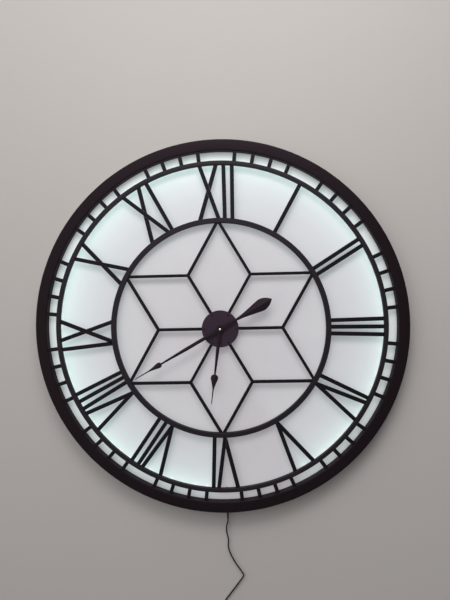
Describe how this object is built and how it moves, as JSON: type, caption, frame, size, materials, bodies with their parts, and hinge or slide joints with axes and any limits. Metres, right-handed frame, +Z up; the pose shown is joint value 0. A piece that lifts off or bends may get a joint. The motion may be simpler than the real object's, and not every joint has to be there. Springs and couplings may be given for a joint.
{
  "type": "backlit wall clock",
  "caption": "Round backlit wall clock with a black metal rim, Roman numeral frame, star spokes and spade hands over a lit white panel, run by a quartz movement and a low-voltage lead.",
  "frame": {"origin": "on the wall plane, where the axis of the hands meets it", "axes": "+Z up the wall, +X to the right as seen from the front, +Y into the wall, so the dial faces -Y"},
  "size_m": [0.9999, 0.0623, 1.4126],
  "materials": {
    "black_metal": "satin black powder coat with a fine grain",
    "white_panel": "white acrylic sheet, lit from behind the minute ring",
    "hardboard": "pressed hardboard, smooth side out",
    "zinc_steel": "bright zinc plate",
    "white_tape": "white tape and band",
    "led_lens": "clear lens over a pale phosphor",
    "black_cord": "soft matt vinyl sheath",
    "black_tie": "woven hook and loop tie",
    "plug_metal": "bright nickel plate",
    "plug_insulator": "white insulator",
    "black_plastic": "fine moulded grain",
    "brass": "turned brass",
    "black_rubber": "soft black rubber",
    "battery_jacket": "plain black jacket with a copper end",
    "spring_steel": "nickel-plated spring strip",
    "board_laminate": "green laminate with a black drop of resin",
    "gear_plastic": "natural acetal"
  },
  "bodies": {
    "clock_case": {"rim_shell": "black_metal", "minute_ring": "black_metal", "inner_ring": "black_metal", "minute_ticks": "black_metal", "numeral_one": "black_metal", "numeral_two": "black_metal", "numeral_three": "black_metal", "numeral_four": "black_metal", "numeral_five": "black_metal", "numeral_six": "black_metal", "numeral_seven": "black_metal", "numeral_eight": "black_metal", "numeral_nine": "black_metal", "numeral_ten": "black_metal", "numeral_eleven": "black_metal", "numeral_twelve": "black_metal", "star_bars": "black_metal", "hub_plate": "black_metal", "hub_screws": "black_metal", "face_panel": "white_panel", "rear_cover": "hardboard", "rim_lugs": "zinc_steel", "cover_screws": "zinc_steel", "panel_posts": "zinc_steel", "hanger_plates": "zinc_steel", "led_band": "white_tape", "led_strip": "white_tape", "led_chips": "led_lens", "led_lead": "black_cord", "cord_gland": "black_cord", "strain_relief": "black_cord", "cord_drop": "black_cord", "cord_coil": "black_cord", "cord_tail": "black_cord", "plug_grip": "black_cord", "coil_tie": "black_tie", "plug_shell": "plug_metal", "plug_tongue": "plug_insulator", "movement_case": "black_plastic", "movement_back": "black_plastic", "step_motor": "black_plastic", "bushing": "brass", "fixing_washer": "brass", "fixing_nut": "brass", "rubber_washer": "black_rubber", "battery": "battery_jacket", "battery_contacts": "spring_steel", "circuit_board": "board_laminate"},
    "minute_hand_set": {"minute_hand": "black_metal", "minute_arbor": "brass", "centre_wheel": "gear_plastic", "hand_nut": "brass"},
    "hour_hand_set": {"hour_hand": "black_metal", "hour_wheel": "gear_plastic"},
    "minute_wheel": {"minute_wheel": "gear_plastic"},
    "setting_knob": {"setting_knob": "black_plastic"},
    "third_wheel": {"third_wheel": "gear_plastic"},
    "motor_pinion": {"motor_pinion": "gear_plastic"}
  },
  "joints": [
    {"name": "minute_hand_turn", "type": "hinge", "parent": "clock_case", "child": "minute_hand_set", "pos_m": [0, 0, 0], "axis": [0, 1, 0], "continuous": true},
    {"name": "hour_hand_turn", "type": "hinge", "parent": "clock_case", "child": "hour_hand_set", "pos_m": [0, 0, 0], "axis": [0, 1, 0], "continuous": true},
    {"name": "minute_wheel_turn", "type": "hinge", "parent": "clock_case", "child": "minute_wheel", "pos_m": [-0.01128, 0, 0.0041], "axis": [0, 1, 0], "continuous": true},
    {"name": "setting_knob_turn", "type": "hinge", "parent": "clock_case", "child": "setting_knob", "pos_m": [-0.01899, 0, 0.0133], "axis": [0, 1, 0], "continuous": true},
    {"name": "third_wheel_turn", "type": "hinge", "parent": "clock_case", "child": "third_wheel", "pos_m": [0.0072, 0, 0.01247], "axis": [0, 1, 0], "continuous": true},
    {"name": "motor_pinion_turn", "type": "hinge", "parent": "clock_case", "child": "motor_pinion", "pos_m": [0.01961, 0, 0.01028], "axis": [0, 1, 0], "continuous": true}
  ],
  "couplings": [
    {"joint": "hour_hand_turn", "follows": "minute_hand_turn", "ratio": 0.083333},
    {"joint": "minute_wheel_turn", "follows": "minute_hand_turn", "ratio": -0.33333},
    {"joint": "setting_knob_turn", "follows": "minute_hand_turn", "ratio": 1},
    {"joint": "third_wheel_turn", "follows": "minute_hand_turn", "ratio": -5},
    {"joint": "motor_pinion_turn", "follows": "minute_hand_turn", "ratio": 25}
  ]
}
